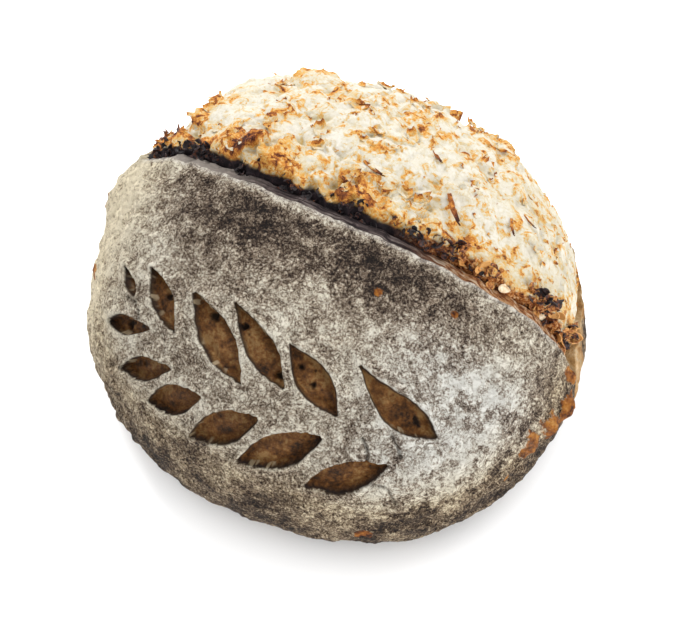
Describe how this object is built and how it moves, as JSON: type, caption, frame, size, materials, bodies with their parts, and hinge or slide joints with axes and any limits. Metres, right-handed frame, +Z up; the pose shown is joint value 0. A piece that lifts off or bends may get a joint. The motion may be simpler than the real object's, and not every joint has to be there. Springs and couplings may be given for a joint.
{
  "type": "sourdough loaf",
  "caption": "Whole hearth loaf with a floured front crust cut in a wheat-stalk pattern, one long slash with a raised ear, and a torn pale bloom behind it.",
  "frame": {"origin": "middle of the flat base, at the bottom centre of the loaf's box", "axes": "+X along the slash, the loaf's longest side; -Y the floured front with the leaf cuts; +Y the torn bloom; +Z up"},
  "size_m": [0.24, 0.22, 0.1256],
  "materials": {
    "crust": "matte floured baked crust, grey-beige",
    "bloom": "matte torn crumb, cream to golden",
    "cut_floor": "thin brown baked skin, slight sheen",
    "burnt": "burnt crust, near black, slight sheen",
    "grain": "toasted oat flakes and bran, matte"
  },
  "bodies": {
    "root": {"loaf": "crust"}
  },
  "joints": []
}
